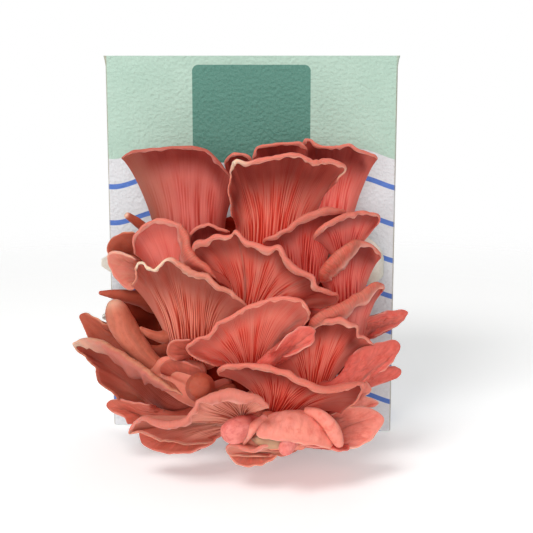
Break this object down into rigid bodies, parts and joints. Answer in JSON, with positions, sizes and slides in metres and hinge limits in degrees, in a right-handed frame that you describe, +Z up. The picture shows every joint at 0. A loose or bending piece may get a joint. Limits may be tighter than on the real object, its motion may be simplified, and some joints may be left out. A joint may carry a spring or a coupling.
{
  "type": "oyster mushroom grow kit",
  "caption": "Printed carton of growing straw whose cut front window has let out a large fused cluster of fan-shaped pink oyster mushrooms with gilled undersides.",
  "frame": {"origin": "centre of the carton's bottom face, where it rests", "axes": "+X to the right seen from the front, -Y out of the carton's front face with the mushrooms, +Z up"},
  "size_m": [0.1841, 0.2247, 0.218],
  "materials": {
    "printed_board": "matt printed board, mint above and pale grey below",
    "substrate": "packed damp straw and sawdust",
    "film": "crumpled thin translucent film",
    "coral_flesh": "moist matt flesh with fine gills, coral pink",
    "rose_flesh": "smooth moist cap skin, salmon rose",
    "russet_flesh": "velvety older flesh, brownish orange pink"
  },
  "bodies": {
    "root": {"carton": "printed_board", "substrate_block": "substrate", "bag_film": "film", "cluster_trunk": "russet_flesh", "mushroom_top_left": "coral_flesh", "mushroom_top_middle": "coral_flesh", "mushroom_top_back": "coral_flesh", "mushroom_top_right": "coral_flesh", "mushroom_top_gap": "coral_flesh", "mushroom_right_upper": "coral_flesh", "mushroom_right_lobe": "coral_flesh", "mushroom_right_rolled": "coral_flesh", "mushroom_centre_upper": "coral_flesh", "mushroom_centre_peek": "coral_flesh", "mushroom_left_cup": "coral_flesh", "mushroom_far_left_upper": "russet_flesh", "mushroom_far_left_lower": "rose_flesh", "mushroom_left_centre": "russet_flesh", "mushroom_centre": "coral_flesh", "mushroom_left_small_lobe": "coral_flesh", "mushroom_right_diagonal": "coral_flesh", "mushroom_right_spear_upper": "rose_flesh", "mushroom_right_centre": "coral_flesh", "mushroom_centre_tongue": "rose_flesh", "mushroom_right_spear_lower": "rose_flesh", "mushroom_right_spear_small": "rose_flesh", "mushroom_lower_centre": "coral_flesh", "mushroom_right_ruffle": "coral_flesh", "mushroom_bottom_left": "coral_flesh", "mushroom_bottom_left_under": "rose_flesh", "mushroom_bottom_centre": "rose_flesh", "mushroom_bottom_right": "rose_flesh", "mushroom_bottom_fan": "coral_flesh", "mushroom_bottom_fan_under": "coral_flesh", "mushroom_bottom_right_under": "coral_flesh", "mushroom_left_lower": "russet_flesh", "mushroom_left_back": "russet_flesh", "mushroom_left_bottom_lobe": "russet_flesh", "mushroom_left_inner_lobe": "rose_flesh", "mushroom_left_finger": "russet_flesh", "mushroom_left_spur": "russet_flesh", "mushroom_left_stem": "russet_flesh", "mushroom_left_inner_stem": "russet_flesh", "mushroom_ball": "russet_flesh", "mushroom_button": "russet_flesh", "mushroom_bottom_bud": "russet_flesh"}
  },
  "joints": []
}
